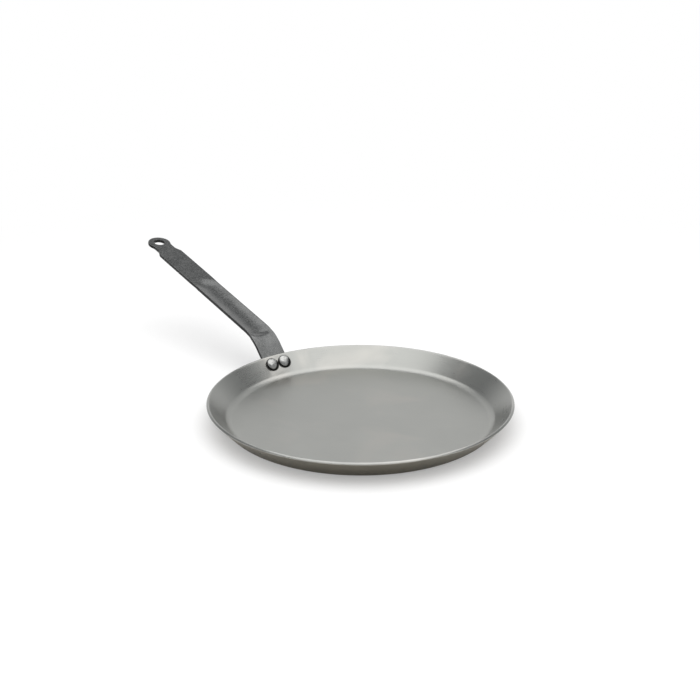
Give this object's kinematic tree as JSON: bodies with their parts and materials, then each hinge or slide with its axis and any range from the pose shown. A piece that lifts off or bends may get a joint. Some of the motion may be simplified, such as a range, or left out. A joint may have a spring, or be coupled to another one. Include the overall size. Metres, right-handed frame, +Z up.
{
  "type": "crepe pan",
  "caption": "Shallow round carbon-steel crepe pan with a sloping wall, and a long riveted strip handle with a pressed hollow and a ringed hanging end.",
  "frame": {"origin": "middle of the flat underside, on the surface that the pan stands on", "axes": "+X from the middle of the pan towards the handle's end, +Z up"},
  "size_m": [0.4795, 0.26, 0.0856],
  "materials": {
    "pan_steel": "bare carbon steel, satin, lightly brushed round the wall",
    "handle_coat": "dark grey coat with a fine pebbled texture",
    "rivet_steel": "bright steel, smooth"
  },
  "bodies": {
    "root": {"pan_body": "pan_steel", "handle": "handle_coat", "rivet_left": "rivet_steel", "rivet_right": "rivet_steel"}
  },
  "joints": []
}
